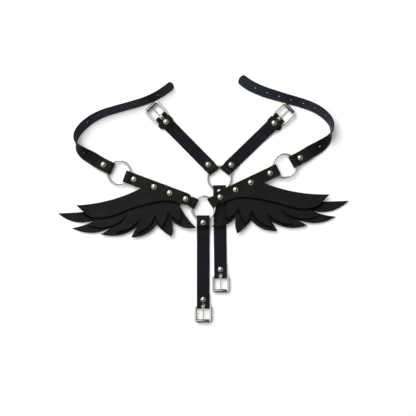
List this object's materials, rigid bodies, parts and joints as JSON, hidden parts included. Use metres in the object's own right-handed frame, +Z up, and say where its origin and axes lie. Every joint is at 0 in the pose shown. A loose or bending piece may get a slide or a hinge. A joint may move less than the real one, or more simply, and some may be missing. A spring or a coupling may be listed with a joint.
{
  "type": "angel wing harness",
  "caption": "Black leather chest harness laid flat, with layered feather wings, round nickel rings, domed rivets, punched side straps and roller buckles.",
  "frame": {"origin": "middle of the bounding box, on the surface that the harness lies on", "axes": "+X to the right across both wings as seen from above, +Y towards the free ends of the side straps, +Z up from the surface"},
  "size_m": [0.435, 0.3694, 0.0191],
  "materials": {
    "leather": "matte grained black",
    "nickel": "polished nickel plate"
  },
  "bodies": {
    "root": {"v_strap_left": "leather", "v_keeper_left": "leather", "side_strap_left": "leather", "wing_cover_left": "leather", "wing_middle_feathers_left": "leather", "wing_long_feathers_left": "leather", "wing_tab_left": "leather", "v_strap_right": "leather", "v_keeper_right": "leather", "side_strap_right": "leather", "wing_cover_right": "leather", "wing_middle_feathers_right": "leather", "wing_long_feathers_right": "leather", "wing_tab_right": "leather", "front_strap": "leather", "back_strap": "leather", "left_ring": "nickel", "v_buckle_left": "nickel", "v_rivet_left_lower": "nickel", "v_rivet_left_upper": "nickel", "side_rivet_left": "nickel", "wing_rivet_left_1": "nickel", "wing_rivet_left_2": "nickel", "wing_rivet_left_3": "nickel", "wing_rivet_left_4": "nickel", "right_ring": "nickel", "v_buckle_right": "nickel", "v_rivet_right_lower": "nickel", "v_rivet_right_upper": "nickel", "side_rivet_right": "nickel", "wing_rivet_right_1": "nickel", "wing_rivet_right_2": "nickel", "wing_rivet_right_3": "nickel", "wing_rivet_right_4": "nickel", "upper_ring": "nickel", "lower_ring": "nickel", "front_buckle": "nickel", "back_buckle": "nickel", "front_rivet_ring": "nickel", "front_rivet_buckle": "nickel", "back_rivet_ring": "nickel", "back_rivet_buckle": "nickel"},
    "prong_left": {"v_prong_left": "nickel"},
    "prong_right": {"v_prong_right": "nickel"},
    "roller_left": {"v_roller_left": "nickel"},
    "roller_right": {"v_roller_right": "nickel"}
  },
  "joints": [
    {"name": "prong_left_swing", "type": "hinge", "parent": "root", "child": "prong_left", "pos_m": [-0.06249, 0.12289, 0.0053], "axis": [-0.712, -0.7021, 0], "range_deg": [0, 95]},
    {"name": "roller_left_spin", "type": "hinge", "parent": "root", "child": "roller_left", "pos_m": [-0.07794, 0.13855, 0.0053], "axis": [-0.712, -0.7021, 0], "continuous": true},
    {"name": "prong_right_swing", "type": "hinge", "parent": "root", "child": "prong_right", "pos_m": [0.11295, 0.12074, 0.0053], "axis": [-0.6947, 0.7193, 0], "range_deg": [0, 95]},
    {"name": "roller_right_spin", "type": "hinge", "parent": "root", "child": "roller_right", "pos_m": [0.12878, 0.13603, 0.0053], "axis": [-0.6947, 0.7193, 0], "continuous": true}
  ]
}
